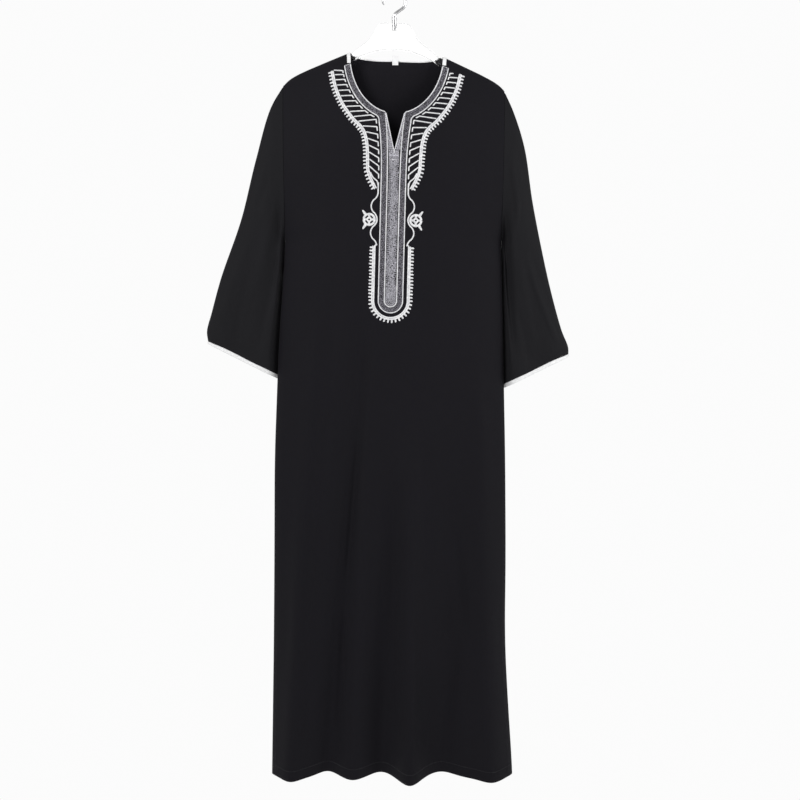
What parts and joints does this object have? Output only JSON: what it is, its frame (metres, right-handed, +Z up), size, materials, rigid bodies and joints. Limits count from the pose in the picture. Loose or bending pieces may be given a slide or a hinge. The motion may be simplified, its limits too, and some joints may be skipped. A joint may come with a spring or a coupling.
{
  "type": "kurta robe on hanger",
  "caption": "Long black robe with short sleeves, open neck slit and stitched chest trimming, hung on a plastic hanger with a metal hook.",
  "frame": {"origin": "seat of the hanger's hook, at the top of the inside of its bend", "axes": "+Z up along the hang, +X towards the wearer's left (right as seen from the front), the front faces -Y"},
  "size_m": [0.6881, 0.1284, 1.4942],
  "materials": {
    "black_cloth": "matt black woven cloth with a faint soft sheen",
    "white_tape": "white woven tape",
    "white_thread": "white embroidery thread, slightly glossy",
    "grey_thread": "grey embroidery thread, dense fill",
    "white_plastic": "smooth white moulded plastic",
    "grey_metal": "plated steel wire"
  },
  "bodies": {
    "root": {"front": "black_cloth", "back": "black_cloth", "sleeve_left": "black_cloth", "sleeve_right": "black_cloth", "cuff_binding_left": "white_tape", "cuff_binding_right": "white_tape", "neck_tape": "white_tape", "neck_label": "white_tape", "neck_band": "grey_thread", "comb_upper_left": "white_thread", "comb_upper_right": "white_thread", "comb_lower": "white_thread", "scroll_left": "white_thread", "scroll_right": "white_thread", "medallion_left": "white_thread", "medallion_right": "white_thread", "hanger_body": "white_plastic", "hanger_hook": "grey_metal"}
  },
  "joints": []
}
